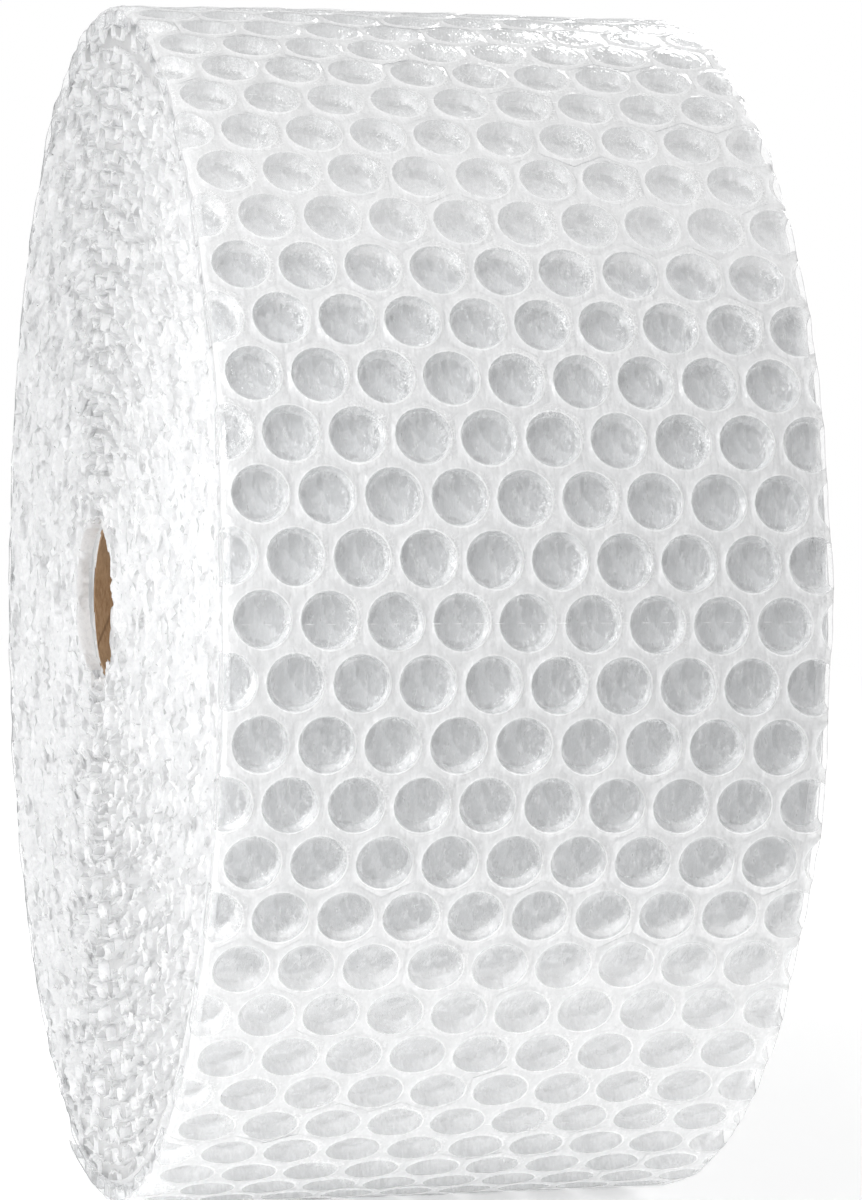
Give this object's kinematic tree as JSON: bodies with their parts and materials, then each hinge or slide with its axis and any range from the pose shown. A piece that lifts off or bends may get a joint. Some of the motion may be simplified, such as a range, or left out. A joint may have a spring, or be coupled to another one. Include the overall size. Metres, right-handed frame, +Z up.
{
  "type": "bubble wrap roll",
  "caption": "Large-bubble cushioning film wound flat side out on a cardboard tube, lying on a small flat, with the tube's bore open for a spindle.",
  "frame": {"origin": "centre of the small flat that the roll rests on, under the tube's middle", "axes": "+Z up from the floor; +X along the tube; -Y is the side that faces the viewer, and the web's free end lies low at the back, +Y"},
  "size_m": [0.305, 0.6443, 0.6461],
  "materials": {
    "bubble_film": "clear glossy polyethylene film, milky white where many turns lie over one another",
    "core_board": "matt brown spiral-wound board"
  },
  "bodies": {
    "root": {"bubble_web": "bubble_film", "core_tube": "core_board"}
  },
  "joints": []
}
